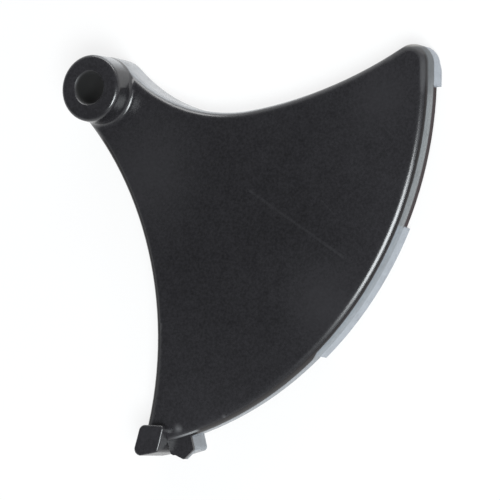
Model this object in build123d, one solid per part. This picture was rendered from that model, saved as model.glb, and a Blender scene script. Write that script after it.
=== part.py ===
from build123d import *
from math import atan2, cos, degrees, radians, sin, sqrt, tan
import os

# Throttle lever of a hand-held garden machine, moulded in one piece of black plastic.
# It lies on its open back: +Z is the pivot axis and points out of the front face.
# The origin is on the pivot axis, in the plane of the skirt's back edge.
# Lengths are in millimetres and angles in degrees, counted from +X about the pivot.

# Depths
face_height = 5.35         # from the back plane to the flat front face
face_wall = 1.8            # thickness of the front face
skirt_wall = 1.8           # thickness of the skirt round the edge
face_edge_round = 1.6      # round between the front face and the skirt

# Pivot boss
boss_rise = 4.05           # how far the boss stands above the front face
boss_radius = 5.45         # at its end
boss_draft = 2.0           # taper of the boss towards its end
boss_end_round = 0.75
boss_root_round = 0.9      # hollow round at its foot
bore_radius = 2.55         # takes a 5 mm pivot pin
bore_chamfer = 0.35
hub_margin = 0.1           # how far the hub stands out past the foot of the boss

# Edge outline
arc_radius = 58.9          # convex edge, centred on the pivot
grip_radius = 55.2         # long hollow edge that the finger pulls
grip_bearing = 223.5       # direction of its centre from the pivot
hollow_radius = 27.5       # hollow edge beside the boss
hollow_bearing = 44.3      # direction of its centre from the pivot
sweep_radius = 74.5        # flatter edge that runs on to the tip
sweep_start = 7.5          # turn past the hollow's lowest point where it begins
tip_round = 3.2
heel_round = 1.5
pocket_round = 0.7         # the same two corners inside the skirt

# Pads along the convex edge, each from its first to its last angle
tip_pad_end = -1.2
tip_pad_turn = 5.5         # last angle of the tip pad
tip_pad_gap = 0.65         # from the back plane up to the tip pad's end
middle_pad_start = -47.3
middle_pad_end = -23.2
middle_pad_gap = 1.0       # from the back plane up to the middle pad's end
tip_notch = 1.85           # how much shorter the skirt is between the pads
heel_notch = 2.55          # how much shorter it is between the middle pad and the lug
pad_proud = 0.3            # how far a pad would stand out of the skirt at the back plane
pad_tip_round = 4.2        # corner round of the tip pad
pad_top = 3.0              # height where a pad slopes out of the skirt
pad_depth = 4.0            # how far in from the convex edge a pad is cut off
notch_reach = 4.0          # cutter overrun past the skirt

# Cable post and lug at the heel
post_inset = 0.15          # from the grip edge to the post
post_width = 4.4           # across the grip edge
post_grip_side = 4.9       # length of its side along the grip edge
post_lug_side = 3.9        # length of the side next to the lug
post_overhang = 1.4        # how far the post stands out past the convex edge
post_rise = 1.8            # how far it stands above the front face
post_grip_round = 1.1      # its corners on the grip edge
post_lug_round = 0.6       # its corners next to the lug
post_end_round = 0.3
lug_along = 7.3            # from the heel's corner to the middle of the lug, along the edge
lug_half_width = 2.15
lug_shoulder = 2.2         # end of the lug's block, past the convex edge
lug_cheek = 1.6            # end of the plate's side next to the post, past the convex edge
lug_reach = 3.3            # point of its front plate, past the convex edge
lug_height = 4.6
lug_plate = 1.2            # thickness of the pointed front plate
lug_corner_round = 0.7
lug_root = 4.0             # how far it reaches back into the skirt

# Rib inside the back
rib_wall = 1.4
rib_bearing = -31.6        # its line shows faintly on the front face
rib_inset = 0.8            # how far the rib stays short of the back plane

# Moulding gate left on the hollow edge
gate_width = 0.5
gate_height = 2.6
gate_proud = 0.15

PIVOT = Vector(0, 0)
boss_top = face_height + boss_rise
boss_foot_radius = boss_radius + boss_rise * tan(radians(boss_draft))
hub_radius = boss_foot_radius + hub_margin
pocket_height = face_height - face_wall
post_top = face_height + post_rise


def polar(radius, angle):
    """Point at this distance and angle from the pivot."""
    return Vector(radius * cos(radians(angle)), radius * sin(radians(angle)))


def bearing(point, centre):
    """Angle of a point as seen from a centre."""
    return degrees(atan2(point.Y - centre.Y, point.X - centre.X))


def meet(centre_a, radius_a, centre_b, radius_b, side):
    """Crossing of two circles: side 1 is left of the line from a to b, and -1 is right."""
    gap = centre_b - centre_a
    along = (gap.length**2 + radius_a**2 - radius_b**2) / (2 * gap.length)
    across = sqrt(radius_a**2 - along**2)
    unit = gap.normalized()
    return centre_a + unit * along + Vector(-unit.Y, unit.X) * (across * side)


def arc(centre, radius, start, end, turn):
    """Arc from start to end: turn 1 is anticlockwise, and -1 is clockwise."""
    first = bearing(start, centre)
    sweep = turn * ((turn * (bearing(end, centre) - first)) % 360)
    return CenterArc((centre.X, centre.Y), radius, first, sweep)


grip_centre = polar(hub_radius + grip_radius, grip_bearing)
hollow_centre = polar(hub_radius + hollow_radius, hollow_bearing)
sweep_direction = Vector(sin(radians(sweep_start)), -cos(radians(sweep_start)))
sweep_centre = hollow_centre - sweep_direction * (sweep_radius - hollow_radius)
heel_corner = meet(PIVOT, arc_radius, grip_centre, grip_radius, 1)
lug_bearing = bearing(heel_corner, PIVOT) + degrees(lug_along / arc_radius)


def lever_outline(inset, tip, heel):
    """Face bounded by the edge outline, moved inwards by inset, with these corner rounds."""
    hub = hub_radius - inset
    outer = arc_radius - inset
    grip = grip_radius + inset
    hollow = hollow_radius + inset
    flat = sweep_radius + inset
    hub_top = polar(hub, hollow_bearing)
    hub_left = polar(hub, grip_bearing)
    heel_centre = meet(PIVOT, outer - heel, grip_centre, grip + heel, 1)
    heel_left = grip_centre + (heel_centre - grip_centre).normalized() * grip
    heel_right = heel_centre.normalized() * outer
    tip_centre = meet(PIVOT, outer - tip, sweep_centre, flat + tip, -1)
    tip_right = tip_centre.normalized() * outer
    tip_top = sweep_centre + (tip_centre - sweep_centre).normalized() * flat
    sweep_end = hollow_centre + sweep_direction * hollow
    edges = [
        arc(PIVOT, hub, hub_top, hub_left, 1),
        arc(grip_centre, grip, hub_left, heel_left, -1),
        arc(heel_centre, heel, heel_left, heel_right, 1),
        arc(PIVOT, outer, heel_right, tip_right, 1),
        arc(tip_centre, tip, tip_right, tip_top, 1),
        arc(sweep_centre, flat, tip_top, sweep_end, -1),
        arc(hollow_centre, hollow, sweep_end, hub_top, -1),
    ]
    return Face(Wire(edges))


def ring_sector(inner, outer, first, last, height):
    """Curved block between two radii and two angles, standing on the back plane."""
    corners = [polar(inner, first), polar(outer, first), polar(outer, last), polar(inner, last)]
    edges = [
        Line(corners[0], corners[1]),
        arc(PIVOT, outer, corners[1], corners[2], 1),
        Line(corners[2], corners[3]),
        arc(PIVOT, inner, corners[3], corners[0], -1),
    ]
    return extrude(Face(Wire(edges)), height, dir=(0, 0, 1))


def make_shell():
    """Front face, skirt and core of the boss, open at the back, with a rounded front edge."""
    block = extrude(lever_outline(0, tip_round, heel_round), face_height, dir=(0, 0, 1))
    block = fillet(block.faces().sort_by(Axis.Z)[-1].edges(), face_edge_round)
    pocket = extrude(lever_outline(skirt_wall, pocket_round, pocket_round), pocket_height, dir=(0, 0, 1))
    pocket -= Pos(0, 0, pocket_height / 2) * Cylinder(boss_foot_radius, pocket_height)
    return block - pocket, pocket


def make_rib(pocket):
    """Straight rib from the boss to the convex skirt."""
    height = pocket_height - rib_inset
    middle = polar(arc_radius / 2, rib_bearing)
    place = Location((middle.X, middle.Y, rib_inset + height / 2), (0, 0, rib_bearing))
    return place * Box(arc_radius, rib_wall, height) & pocket


def add_boss(lever):
    """Lever with the tapered pivot boss, rounded into the face and the rounded edge about it."""
    depth = boss_rise + face_edge_round
    boss = Cone(boss_radius + depth * tan(radians(boss_draft)), boss_radius, depth)
    boss = Pos(0, 0, boss_top - depth / 2) * boss
    boss = fillet(boss.faces().sort_by(Axis.Z)[-1].edges(), boss_end_round)
    lever += boss
    foot = [e for e in lever.edges() if is_boss_foot(e)]
    return fillet(foot, boss_root_round)


def is_boss_foot(edge):
    """Whether the edge is a piece of the crossing of the boss and the front face."""
    points = [edge @ 0, edge @ 0.5, edge @ 1]
    radii = [Vector(p.X, p.Y).length for p in points]
    heights = [p.Z for p in points]
    at_boss = boss_radius < min(radii) and max(radii) < hub_radius
    at_face = face_height - face_edge_round < min(heights) and max(heights) < face_height + boss_root_round
    return at_boss and at_face


def make_bore():
    """Through bore with a chamfer at the front end."""
    cutter = Location((0, 0, boss_top / 2)) * Cylinder(bore_radius, boss_top)
    mouth = Cone(bore_radius, bore_radius + bore_chamfer, bore_chamfer)
    return cutter + Location((0, 0, boss_top - bore_chamfer / 2)) * mouth


def make_post():
    """Four-sided post on the heel, in line with the grip edge and the convex edge."""
    left = grip_radius + post_inset
    right = left + post_width
    outer = arc_radius + post_overhang
    top_left = meet(PIVOT, outer - post_grip_side, grip_centre, left, 1)
    top_right = meet(PIVOT, outer - post_lug_side, grip_centre, right, 1)
    low_left = meet(PIVOT, outer, grip_centre, left, 1)
    low_right = meet(PIVOT, outer, grip_centre, right, 1)
    edges = [
        arc(grip_centre, left, top_left, low_left, -1),
        arc(PIVOT, outer, low_left, low_right, 1),
        arc(grip_centre, right, low_right, top_right, 1),
        Line(top_right, top_left),
    ]
    post = extrude(Face(Wire(edges)), post_top, dir=(0, 0, 1))
    corners = post.edges().filter_by(Axis.Z).sort_by_distance((grip_centre.X, grip_centre.Y, 0))
    post = fillet(corners[:2], post_grip_round)
    corners = post.edges().filter_by(Axis.Z).sort_by_distance((grip_centre.X, grip_centre.Y, 0))
    post = fillet(corners[-2:], post_lug_round)
    return fillet(post.faces().sort_by(Axis.Z)[-1].edges(), post_end_round)


def make_lug():
    """Lug that stands out of the convex edge beside the post, with a pointed plate at its front."""
    seat = polar(arc_radius, lug_bearing)
    place = Plane((seat.X, seat.Y, 0), x_dir=polar(1, lug_bearing), z_dir=(0, 0, 1))
    length = lug_root + lug_shoulder
    block = Pos(lug_shoulder - length / 2, 0, lug_height / 2) * Box(length, 2 * lug_half_width, lug_height)
    block = fillet(block.edges().filter_by(Axis.Z).sort_by(Axis.X)[2:], lug_corner_round)
    outline = Polyline(
        (-lug_root, -lug_half_width),
        (lug_cheek, -lug_half_width),
        (lug_reach, 0),
        (lug_shoulder, lug_half_width),
        (-lug_root, lug_half_width),
        close=True,
    )
    plate = extrude(make_face(outline), lug_plate, dir=(0, 0, 1))
    plate = fillet(plate.edges().filter_by(Axis.Z).sort_by(Axis.X)[2:], lug_corner_round / 2)
    return place * (block + Pos(0, 0, lug_height - lug_plate) * plate)


def make_pads():
    """Bands at the tip and in the middle of the convex edge that slope out of the skirt."""
    slope = degrees(atan2(pad_proud, pad_top))
    proud = extrude(lever_outline(-pad_proud, pad_tip_round, heel_round), pad_top, dir=(0, 0, 1), taper=slope)
    inner = arc_radius - pad_depth
    outer = arc_radius + notch_reach
    keep = ring_sector(inner, outer, tip_pad_end, tip_pad_turn, pad_top)
    keep += ring_sector(inner, outer, middle_pad_start, middle_pad_end, pad_top)
    pocket = extrude(lever_outline(skirt_wall, pocket_round, pocket_round), pad_top, dir=(0, 0, 1))
    return (proud & keep) - pocket


def make_notches():
    """Cutters that shorten the skirt under and between the pads."""
    inner = arc_radius - skirt_wall
    outer = arc_radius + notch_reach
    lug_side = lug_bearing + degrees(lug_half_width / arc_radius)
    notches = ring_sector(inner, outer, tip_pad_end, tip_pad_turn, tip_pad_gap)
    notches += ring_sector(inner, outer, middle_pad_end, tip_pad_end, tip_notch)
    notches += ring_sector(inner, outer, middle_pad_start, middle_pad_end, middle_pad_gap)
    notches += ring_sector(inner, outer, lug_side, middle_pad_start, heel_notch)
    return notches


def make_gate():
    """Trace of the moulding gate on the hollow edge."""
    middle = hollow_centre + sweep_direction * (hollow_radius - gate_proud + skirt_wall / 2)
    return Location((middle.X, middle.Y, gate_height / 2), (0, 0, sweep_start)) * Box(
        gate_width, skirt_wall, gate_height
    )


def make_lever():
    """The whole moulding as one solid."""
    shell, pocket = make_shell()
    lever = add_boss(shell) + make_rib(pocket)
    lever += make_pads()
    lever -= make_notches()
    lever += make_post()
    lever += make_lug()
    lever += make_gate()
    return lever - make_bore()


os.makedirs("parts", exist_ok=True)
throttle_lever = make_lever()
export_step(throttle_lever, "parts/throttle_lever.step")
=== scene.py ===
from math import cos, radians, sin

import bpy
from mathutils import Matrix, Vector

# Throttle lever: a black moulded plastic lever that lies on its open back, seen from above.

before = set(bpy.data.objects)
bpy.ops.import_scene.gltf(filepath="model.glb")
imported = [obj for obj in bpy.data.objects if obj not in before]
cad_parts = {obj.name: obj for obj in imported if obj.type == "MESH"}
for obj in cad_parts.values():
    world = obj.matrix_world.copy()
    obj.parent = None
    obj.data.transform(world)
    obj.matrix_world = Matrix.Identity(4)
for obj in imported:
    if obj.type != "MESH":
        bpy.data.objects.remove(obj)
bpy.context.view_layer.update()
scene = bpy.context.scene
scene.view_settings.view_transform = "Standard"
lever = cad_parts["throttle_lever"]

# Camera, as the photograph looks at the front face
VIEW_TURN = 29.1           # degrees to the right of the pivot axis
VIEW_LIFT = -3.6           # degrees above it
VIEW_ROLL = 1.2            # degrees
VIEW_DISTANCE = 0.450      # metres
VIEW_FOCUS = (0.0280, -0.0265, 0.00475)
FOCAL_PIXELS = 2835.0
IMAGE_PIXELS = 500.0
SENSOR = 36.0

# Table, lamps and surround, in metres and watts
TABLE_HALF = 1.5
TABLE_DROP = -0.00002      # keeps the table just clear of the lever's back
TABLE_PAINT = (0.86, 0.86, 0.86, 1)
TABLE_GLOW = 0.8           # share that shows as plain white to the camera and in reflections
LAMP_AIM = (0.03, -0.03, 0)
LAMPS = (                  # name, place, size, power and colour
    ("key", (0.364, -0.273, 0.59), (0.30, 0.32), 6.2, (0.93, 0.98, 1.0)),
    ("rim", (0.10, 0.75, 0.20), (1.0, 0.25), 4.2, (1, 1, 1)),
)
SKY_STOPS = ((0.0, 1.0), (0.25, 0.8), (0.6, 0.16), (1.0, 0.10))  # upward direction and level
SKY_TINT = (0.96, 0.98, 1.0)

# The material works in millimetres from the pivot, and in degrees about it.
# A pair is where a soft step starts and where it is full. A triple is the first and
# last value of a band, and how far its soft ends reach past them.
MM = 1000.0                # object coordinates are metres
DEGREES = 57.29578

# Front face
BLACK_LOW = (0.0036, 0.0034, 0.0040, 1)
BLACK_HIGH = (0.0236, 0.0226, 0.0256, 1)
BLADE_MIDDLE = (22.0, -20.0, 0)
HANDLED_REACH = (4.0, 41.0)
HANDLED_SHARE = 0.28
HAZE_STEP = (0.35, 0.7)
HAZE_SHARE = 0.12
GRAIN_STEP = (0.3, 0.7)
GRAIN_SHARE = 0.45
MOTTLE_SHARE = 0.35
ON_FACE = (5.2, 5.3)
FLAT_FACE = (5.31, 5.34)
THUMBED_GREY = (0.034, 0.033, 0.036, 1)
THUMBED = (                # centre, reach and strength of lighter, thumbed places
    ((9.0, -14.0, 0), 15.0, 0.42),
    ((42.0, -35.0, 0), 11.0, 0.42),
    ((51.0, -3.0, 0), 8.5, 0.34),
)
MARK_GREY = (0.07, 0.07, 0.077, 1)
MARK_SHARE = 0.05
SINK_LINE = ((28.1, -17.2, 0), (44.9, -27.8, 0), 0.4)   # start, end and width
SCRATCH = ((40.9, -18.9, 0), (43.2, -21.1, 0), 0.2)
SCRATCH_SHARE = 0.8
# Painted highlight: the first pale spot stands for light caught by the round beside the post
SPOT_GREY = (0.16, 0.16, 0.165, 1)
HEEL_SPOTS = (                  # centre, reach and strength of pale spots near the heel
    ((15.84, -55.09, 0), 1.5, 0.7),
    ((24.1, -52.9, 0), 1.0, 0.5),
)

# Painted shade: dark line under the bright convex edge
SHADE_DARK = (0.006, 0.004, 0.004, 1)
EDGE_LOW = 4.62
EDGE_HIGH = 4.85
EDGE_SOFT = 0.12
EDGE_HEEL_DROP = 0.45      # how much lower the line reaches towards the heel
EDGE_RADIUS = (57.2, 57.9)
EDGE_END = (-72.4, -72.0)

# Painted reflection on the skirt along the convex edge, with painted shade low in the notch
TIP_TURN = (-5.0, 0.5)
HEEL_TURN = (-46.5, -48.5)
MIDDLE_PAD = (-47.3, -23.2, 0.2)
TIP_PAD = (-1.2, 5.4, 0.4)
NOTCH = (-23.2, -1.2, 0.2)
SKIRT_RADIUS = (57.6, 58.5)
SKIRT_TOP = 4.65
SKIRT_HEEL_DROP = 0.5
SKIRT_SOFT = 0.2
SKIRT_END = (-77.0, -72.5)
SKIRT_BREAKUP = (0.2, 0.6, 0.8, 1.0)
TIP_CORNER = (57.5, 4.0, 0)
TIP_REACH = (7.5, 3.5)
TIP_WALL_TOP = (4.9, 4.3)
PAD_TOP = (3.1, 2.7)
NOTCH_TOP = (3.3, 2.8)
NOTCH_WALL = (0.155, 0.165, 0.17, 1)
TIP_WALL = (0.085, 0.09, 0.095, 1)
MIDDLE_WALL = (0.185, 0.205, 0.225, 1)
HEEL_WALL = (0.21, 0.225, 0.245, 1)
NOTCH_SHADE = (0.016, 0.005, 0.006, 1)
PAD_PALE = (0.285, 0.305, 0.335, 1)

# Painted highlights: pale crest of the tip, and the light line over the lug
CREST_X = (48.0, 54.0)
CREST_Y = (4.4, 5.4)
CREST_HEIGHT = (4.2, 5.0, 1.0)
CREST_HIGHLIGHT = (0.42, 0.405, 0.38, 1)
LEDGE_HEIGHT = (4.68, 4.92, 0.05)
LEDGE_RADIUS = (58.1, 58.62, 0.05)
LEDGE_FADE = (-76.5, -72.0)
LEDGE_END = (-70.3, -71.5)
LEDGE_HIGHLIGHT = (0.20, 0.205, 0.21, 1)

# Painted reflection on the wall of the hollow edge, and on the sides of the hub and the boss next
# to it
SIDE_REFLECTION = (0.34, 0.35, 0.365, 1)
SIDE_BREAKUP = (0.25, 0.6, 0.75, 1.0)
SIDE_TOP = (5.0, 4.4)
HOLLOW_CENTRE = (23.76, 23.18, 0)
HOLLOW_REACH = (30.0, 27.6)
HUB_RADIUS = (5.65, 6.1, 0.03)
HUB_ANGLE = (35.0, 70.0, 30.0)
BOSS_HEIGHT = (6.0, 8.6, 0.8)
BOSS_ANGLE = (62.0, 78.0, 36.0)
BOSS_INSIDE = (5.1, 5.4)
BOSS_OUTSIDE = (6.4, 6.0)

# Painted shade: dark, dull round along the edge that the finger pulls, and the near-black bore
GRIP_CENTRE = (-44.17, -41.92, 0)
GRIP_REACH = (56.6, 55.9)
GRIP_START = (6.5, 9.0)
GRIP_TOP = (5.3, 5.15)
GRIP_SPECULAR = 0.08
PLAIN_SPECULAR = 0.5
BORE_RADIUS = (2.9, 2.6)
BORE_SHADE = (0.004, 0.004, 0.004, 1)

# Gloss and relief
PLASTIC_IOR = 1.58
PLAIN_ROUGH = 0.20
CLOUD_ROUGH = 0.2
MARK_ROUGH = 0.15
SHADE_ROUGH = 0.5
EDGE_SMOOTH = 0.12
TIP_ROUGH = 0.3
TIP_ROUND = (5.345, 5.28)
BORE_ROUGH = 0.6
BUMP_STRENGTH = 0.05
BUMP_DISTANCE = 0.0001
GRAIN_RELIEF = 0.4


class Nodes:
    """Small helper to lay out the nodes of a material, a world or a group."""

    def __init__(self, tree):
        self.tree = tree

    def add(self, kind, **settings):
        node = self.tree.nodes.new(kind)
        for name, value in settings.items():
            setattr(node, name, value)
        return node

    def feed(self, socket, value):
        """Links a socket, or sets a plain value."""
        if isinstance(value, bpy.types.NodeSocket):
            self.tree.links.new(value, socket)
        else:
            socket.default_value = value

    def math(self, operation, first, second=0.0, clamp=False):
        node = self.add("ShaderNodeMath", operation=operation, use_clamp=clamp)
        self.feed(node.inputs[0], first)
        self.feed(node.inputs[1], second)
        return node.outputs[0]

    def plus(self, first, second, clamp=False):
        return self.math("ADD", first, second, clamp)

    def minus(self, first, second):
        return self.math("SUBTRACT", first, second)

    def times(self, first, *others):
        for other in others:
            first = self.math("MULTIPLY", first, other)
        return first

    def vector(self, operation, first, second=(0, 0, 0), out="Vector"):
        node = self.add("ShaderNodeVectorMath", operation=operation)
        self.feed(node.inputs[0], first)
        self.feed(node.inputs[1], second)
        return node.outputs[out]

    def scaled(self, vector, factor):
        node = self.add("ShaderNodeVectorMath", operation="SCALE")
        self.feed(node.inputs[0], vector)
        self.feed(node.inputs["Scale"], factor)
        return node.outputs[0]

    def ramp(self, value, low, high, to_low=0.0, to_high=1.0):
        """Smooth step of value from low to high."""
        node = self.add("ShaderNodeMapRange", interpolation_type="SMOOTHSTEP")
        self.feed(node.inputs["Value"], value)
        self.feed(node.inputs["From Min"], low)
        self.feed(node.inputs["From Max"], high)
        self.feed(node.inputs["To Min"], to_low)
        self.feed(node.inputs["To Max"], to_high)
        return node.outputs["Result"]

    def noise(self, point, scale, detail=2.0, rough=0.5):
        node = self.add("ShaderNodeTexNoise")
        self.feed(node.inputs["Vector"], point)
        node.inputs["Scale"].default_value = scale
        node.inputs["Detail"].default_value = detail
        node.inputs["Roughness"].default_value = rough
        return node.outputs["Fac"]

    def mix(self, factor, first, second):
        node = self.add("ShaderNodeMix", data_type="RGBA")
        self.feed(node.inputs[0], factor)
        self.feed(node.inputs[6], first)
        self.feed(node.inputs[7], second)
        return node.outputs[2]

    def use(self, group, **values):
        """First output of a group that is fed with these values."""
        node = self.add("ShaderNodeGroup", node_tree=group)
        for name, value in values.items():
            self.feed(node.inputs[name], value)
        return node.outputs[0]


def view_axes():
    """Right, up and backward directions of the camera."""
    turn, lift, roll = radians(VIEW_TURN), radians(VIEW_LIFT), radians(VIEW_ROLL)
    back = Vector((sin(turn) * cos(lift), sin(lift), cos(turn) * cos(lift)))
    right = Vector((0, 1, 0)).cross(back).normalized()
    up = back.cross(right)
    return right * cos(roll) + up * sin(roll), up * cos(roll) - right * sin(roll), back


def make_camera():
    right, up, back = view_axes()
    data = bpy.data.cameras.new("camera")
    data.sensor_width = SENSOR
    data.lens = FOCAL_PIXELS / IMAGE_PIXELS * SENSOR
    camera = bpy.data.objects.new("camera", data)
    place = Vector(VIEW_FOCUS) + back * VIEW_DISTANCE
    turned = Matrix((right, up, back)).transposed().to_4x4()
    camera.matrix_world = Matrix.Translation(place) @ turned
    scene.collection.objects.link(camera)
    scene.camera = camera


def make_floor():
    """Pale table that shows white to the camera and in reflections, and keeps a soft shadow."""
    mesh = bpy.data.meshes.new("table")
    signs = ((-1, -1), (1, -1), (1, 1), (-1, 1))
    corners = [(x * TABLE_HALF, y * TABLE_HALF, TABLE_DROP) for x, y in signs]
    mesh.from_pydata(corners, [], [(0, 1, 2, 3)])
    table = bpy.data.objects.new("table", mesh)
    scene.collection.objects.link(table)
    material = bpy.data.materials.new("pale_table")
    material.use_nodes = True
    material.node_tree.nodes.clear()
    n = Nodes(material.node_tree)
    out = n.add("ShaderNodeOutputMaterial")
    paint = n.add("ShaderNodeBsdfDiffuse")
    paint.inputs["Color"].default_value = TABLE_PAINT
    glow = n.add("ShaderNodeEmission")
    glow.inputs["Color"].default_value = (1, 1, 1, 1)
    rays = n.add("ShaderNodeLightPath").outputs
    seen = n.plus(rays["Is Camera Ray"], rays["Is Glossy Ray"], clamp=True)
    seen = n.plus(seen, rays["Is Transmission Ray"], clamp=True)
    mix = n.add("ShaderNodeMixShader")
    n.feed(mix.inputs[0], n.times(seen, TABLE_GLOW))
    n.feed(mix.inputs[1], paint.outputs[0])
    n.feed(mix.inputs[2], glow.outputs[0])
    n.feed(out.inputs["Surface"], mix.outputs[0])
    mesh.materials.append(material)


def make_lamp(name, place, size, power, colour):
    data = bpy.data.lights.new(name, "AREA")
    data.shape = "RECTANGLE"
    data.size, data.size_y = size
    data.energy = power
    data.color = colour
    lamp = bpy.data.objects.new(name, data)
    lamp.location = place
    lamp.rotation_euler = (Vector(LAMP_AIM) - Vector(place)).to_track_quat("-Z", "Y").to_euler()
    scene.collection.objects.link(lamp)


def make_light():
    """Window-like key lamp from the right, a low lamp behind, and a surround dim overhead."""
    for lamp in LAMPS:
        make_lamp(*lamp)
    world = bpy.data.worlds.new("surround")
    scene.world = world
    world.use_nodes = True
    n = Nodes(world.node_tree)
    split = n.add("ShaderNodeSeparateXYZ")
    ramp = n.add("ShaderNodeValToRGB")
    n.feed(split.inputs[0], n.add("ShaderNodeTexCoord").outputs["Generated"])
    n.feed(ramp.inputs[0], split.outputs["Z"])
    n.feed(world.node_tree.nodes["Background"].inputs["Color"], ramp.outputs[0])
    stops = ramp.color_ramp.elements
    while len(stops) < len(SKY_STOPS):
        stops.new(0.5)
    for stop, (place, level) in zip(stops, SKY_STOPS):
        stop.position = place
        stop.color = [level * tint for tint in SKY_TINT] + [1]


def new_group(name, **inputs):
    """Empty group with these inputs and a Mask output, its helper, and its two end nodes."""
    group = bpy.data.node_groups.new(name, "ShaderNodeTree")
    for socket, kind in inputs.items():
        group.interface.new_socket(socket, in_out="INPUT", socket_type="NodeSocket" + kind)
    group.interface.new_socket("Mask", in_out="OUTPUT", socket_type="NodeSocketFloat")
    n = Nodes(group)
    return group, n, n.add("NodeGroupInput").outputs, n.add("NodeGroupOutput").inputs["Mask"]


def line_mark_group():
    """Mask of one thin straight mark between two points, in millimetres."""
    group, n, given, mask = new_group(
        "line_mark", Point="Vector", Start="Vector", End="Vector", Width="Float"
    )
    run = n.vector("SUBTRACT", given["End"], given["Start"])
    offset = n.vector("SUBTRACT", given["Point"], given["Start"])
    along = n.vector("DOT_PRODUCT", offset, run, "Value")
    length = n.vector("DOT_PRODUCT", run, run, "Value")
    nearest = n.scaled(run, n.math("DIVIDE", along, length, clamp=True))
    away = n.vector("LENGTH", n.vector("SUBTRACT", offset, nearest), out="Value")
    n.feed(mask, n.ramp(away, 0.0, given["Width"], 1.0, 0.0))
    return group


def rub_patch_group():
    """Mask of a soft, ragged patch round a point, in millimetres."""
    group, n, given, mask = new_group("rub_patch", Point="Vector", Centre="Vector", Radius="Float")
    away = n.vector("DISTANCE", given["Point"], given["Centre"], "Value")
    ragged = n.plus(away, n.times(n.noise(given["Point"], 1.3, 3.0), 0.8))
    n.feed(mask, n.ramp(ragged, 0.0, given["Radius"], 1.0, 0.0))
    return group


def band_group():
    """Mask of the values between two limits, with soft ends."""
    group, n, given, mask = new_group(
        "band", Value="Float", First="Float", Last="Float", Soft="Float"
    )
    start = n.minus(given["First"], given["Soft"])
    end = n.plus(given["Last"], given["Soft"])
    above = n.ramp(given["Value"], start, given["First"])
    below = n.ramp(given["Value"], given["Last"], end, 1.0, 0.0)
    n.feed(mask, n.times(above, below))
    return group


class Surface(Nodes):
    """Nodes of the lever's material, with where a point of it lies, and its kinds of mask."""

    def __init__(self, tree):
        super().__init__(tree)
        self.point = self.scaled(self.add("ShaderNodeTexCoord").outputs["Object"], MM)
        split = self.add("ShaderNodeSeparateXYZ")
        self.feed(split.inputs[0], self.point)
        self.x, self.y, self.height = split.outputs
        combine = self.add("ShaderNodeCombineXYZ")
        self.feed(combine.inputs[0], self.x)
        self.feed(combine.inputs[1], self.y)
        self.flat = combine.outputs[0]
        self.radius = self.vector("LENGTH", self.flat, out="Value")
        self.angle = self.times(self.math("ARCTAN2", self.y, self.x), DEGREES)
        self.line_mark = line_mark_group()
        self.rub_patch = rub_patch_group()
        self.soft_band = band_group()

    def near(self, centre, reach):
        """Soft step of the distance from a centre, seen along the pivot axis."""
        return self.ramp(self.vector("DISTANCE", self.flat, centre, "Value"), *reach)

    def line(self, start, end, width):
        return self.use(self.line_mark, Point=self.flat, Start=start, End=end, Width=width)

    def patch(self, centre, reach):
        return self.use(self.rub_patch, Point=self.flat, Centre=centre, Radius=reach)

    def band(self, value, first, last, soft):
        return self.use(self.soft_band, Value=value, First=first, Last=last, Soft=soft)


def face_marks(s):
    """Mask of the faint sink line and the scratch on the front face."""
    lines = s.plus(s.line(*SINK_LINE), s.times(s.line(*SCRATCH), SCRATCH_SHARE), clamp=True)
    return s.times(lines, s.ramp(s.height, *ON_FACE))


def face_colour(s, cloud, grain, marks):
    """Black that is mottled, hazed by handling and marked, with pale spots near the heel, one a
    painted highlight.
    """
    mottle = s.noise(s.point, 0.7, 3.0, 0.6)
    speckle = s.plus(
        s.times(s.ramp(grain, *GRAIN_STEP), GRAIN_SHARE), s.times(mottle, MOTTLE_SHARE)
    )
    colour = s.mix(s.plus(cloud, speckle), BLACK_LOW, BLACK_HIGH)
    for centre, reach, share in THUMBED:
        colour = s.mix(s.times(s.patch(centre, reach), share), colour, THUMBED_GREY)
    colour = s.mix(s.times(marks, MARK_SHARE), colour, MARK_GREY)
    for centre, reach, share in HEEL_SPOTS:
        colour = s.mix(s.times(s.patch(centre, reach), share), colour, SPOT_GREY)
    return colour


def edge_shade_line(s, heel):
    """Mask of the painted shade line under the bright convex edge."""
    low = s.minus(EDGE_LOW, s.times(heel, EDGE_HEEL_DROP))
    return s.times(
        s.band(s.height, low, EDGE_HIGH, EDGE_SOFT),
        s.ramp(s.radius, *EDGE_RADIUS),
        s.ramp(s.angle, *EDGE_END),
    )


def skirt_mask(s, heel, round_tip):
    """Mask of the wall along the convex edge and round the tip that carries painted reflection."""
    top = s.minus(SKIRT_TOP, s.times(heel, SKIRT_HEEL_DROP))
    skirt = s.times(
        s.ramp(s.radius, *SKIRT_RADIUS),
        s.ramp(s.height, top, s.minus(top, SKIRT_SOFT)),
        s.ramp(s.angle, *SKIRT_END),
    )
    return s.math("MAXIMUM", skirt, s.times(round_tip, s.ramp(s.height, *TIP_WALL_TOP)))


def skirt_colour(s, heel, shaded):
    """Painted reflection on the wall along the convex edge, from the tip to the heel, and on its
    pads, with painted shade in the notch.
    """
    middle = s.band(s.angle, *MIDDLE_PAD)
    wall = s.mix(s.ramp(s.angle, *TIP_TURN), NOTCH_WALL, TIP_WALL)
    wall = s.mix(middle, wall, MIDDLE_WALL)
    wall = s.mix(heel, wall, HEEL_WALL)
    wall = s.mix(shaded, wall, NOTCH_SHADE)
    pads = s.plus(s.band(s.angle, *TIP_PAD), middle, clamp=True)
    return s.mix(s.times(pads, s.ramp(s.height, *PAD_TOP)), wall, PAD_PALE)


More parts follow.
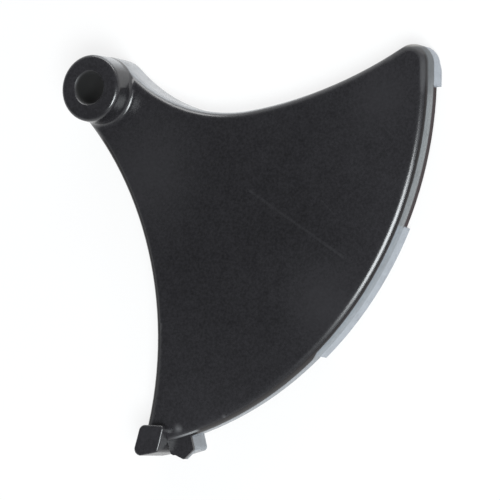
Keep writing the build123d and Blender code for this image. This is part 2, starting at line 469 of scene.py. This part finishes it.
def highlight_lines(s, colour):
    """Adds painted highlights: the pale crest of the tip and the light line over the lug."""
    crest = s.times(
        s.ramp(s.y, *CREST_Y), s.ramp(s.x, *CREST_X), s.band(s.height, *CREST_HEIGHT)
    )
    colour = s.mix(crest, colour, CREST_HIGHLIGHT)
    ledge = s.times(
        s.band(s.height, *LEDGE_HEIGHT),
        s.ramp(s.angle, *LEDGE_FADE),
        s.ramp(s.angle, *LEDGE_END),
        s.band(s.radius, *LEDGE_RADIUS),
    )
    return s.mix(ledge, colour, LEDGE_HIGHLIGHT)


def reflected_sides(s, colour):
    """Adds painted reflection on the wall of the hollow edge, and on the sides of the hub and the
    boss.
    """
    side_breakup = s.ramp(s.noise(s.point, 0.4, 4.0, 0.6), *SIDE_BREAKUP)
    hub = s.times(s.band(s.radius, *HUB_RADIUS), s.band(s.angle, *HUB_ANGLE))
    side = s.math("MAXIMUM", s.near(HOLLOW_CENTRE, HOLLOW_REACH), hub)
    side = s.times(side, s.ramp(s.height, *SIDE_TOP), side_breakup)
    colour = s.mix(side, colour, SIDE_REFLECTION)
    boss = s.times(
        s.band(s.height, *BOSS_HEIGHT),
        s.band(s.angle, *BOSS_ANGLE),
        s.ramp(s.radius, *BOSS_INSIDE),
        s.ramp(s.radius, *BOSS_OUTSIDE),
    )
    return s.mix(s.times(boss, side_breakup), colour, SIDE_REFLECTION)


def make_plastic():
    """Black moulded plastic: satin, hazed by handling, with painted reflection that makes the
    skirt pale.
    """
    material = bpy.data.materials.new("black_plastic")
    material.use_nodes = True
    shader = material.node_tree.nodes["Principled BSDF"]
    s = Surface(material.node_tree)

    # Haze that grows from the middle of the blade to its edges
    haze = s.ramp(s.noise(s.point, 0.10, 4.0, 0.6), *HAZE_STEP)
    handled = s.near(BLADE_MIDDLE, HANDLED_REACH)
    cloud = s.plus(s.times(handled, HANDLED_SHARE), s.times(haze, HAZE_SHARE))
    grain = s.noise(s.point, 2.2, 4.0, 0.7)
    marks = face_marks(s)
    colour = face_colour(s, cloud, grain, marks)

    # Convex edge: a painted shade line under the bright round, then painted reflection on the wall
    # and pads
    heel = s.ramp(s.angle, *HEEL_TURN)
    edge = edge_shade_line(s, heel)
    colour = s.mix(edge, colour, SHADE_DARK)
    round_tip = s.near(TIP_CORNER, TIP_REACH)
    skirt = skirt_mask(s, heel, round_tip)
    shaded = s.times(s.band(s.angle, *NOTCH), s.ramp(s.height, *NOTCH_TOP))
    skirt_sheen = s.times(skirt, s.ramp(s.noise(s.point, 0.5, 4.0, 0.6), *SKIRT_BREAKUP))
    # Painted reflection on the skirt, broken up by noise
    colour = s.mix(skirt_sheen, colour, skirt_colour(s, heel, shaded))
    # Painted highlights on the tip crest and over the lug, painted reflection on the hollow wall,
    # hub and boss
    colour = reflected_sides(s, highlight_lines(s, colour))

    # Pulled edge and bore, painted dark as shade
    grip = s.times(
        s.near(GRIP_CENTRE, GRIP_REACH),
        s.ramp(s.radius, *GRIP_START),
        s.ramp(s.height, *GRIP_TOP),
    )
    colour = s.mix(grip, colour, SHADE_DARK)
    bore = s.ramp(s.radius, *BORE_RADIUS)
    s.feed(shader.inputs["Base Color"], s.mix(bore, colour, BORE_SHADE))

    specular = s.ramp(grip, 0.0, 1.0, PLAIN_SPECULAR, GRIP_SPECULAR)
    s.feed(shader.inputs["Specular IOR Level"], specular)
    shader.inputs["IOR"].default_value = PLASTIC_IOR

    rough = s.plus(PLAIN_ROUGH, s.times(cloud, CLOUD_ROUGH))
    rough = s.plus(rough, s.times(marks, MARK_ROUGH))
    rough = s.plus(rough, s.times(shaded, skirt, SHADE_ROUGH))
    rough = s.minus(rough, s.times(edge, EDGE_SMOOTH))
    rough = s.plus(rough, s.times(round_tip, s.ramp(s.height, *TIP_ROUND), TIP_ROUGH))
    s.feed(shader.inputs["Roughness"], s.plus(rough, s.times(bore, BORE_ROUGH)))

    bump = s.add("ShaderNodeBump")
    bump.inputs["Strength"].default_value = BUMP_STRENGTH
    bump.inputs["Distance"].default_value = BUMP_DISTANCE
    relief = s.minus(s.times(grain, GRAIN_RELIEF), marks)
    s.feed(bump.inputs["Height"], s.times(relief, s.ramp(s.height, *FLAT_FACE)))
    s.feed(shader.inputs["Normal"], bump.outputs[0])
    return material


make_camera()
make_floor()
make_light()
lever.data.materials.clear()
lever.data.materials.append(make_plastic())
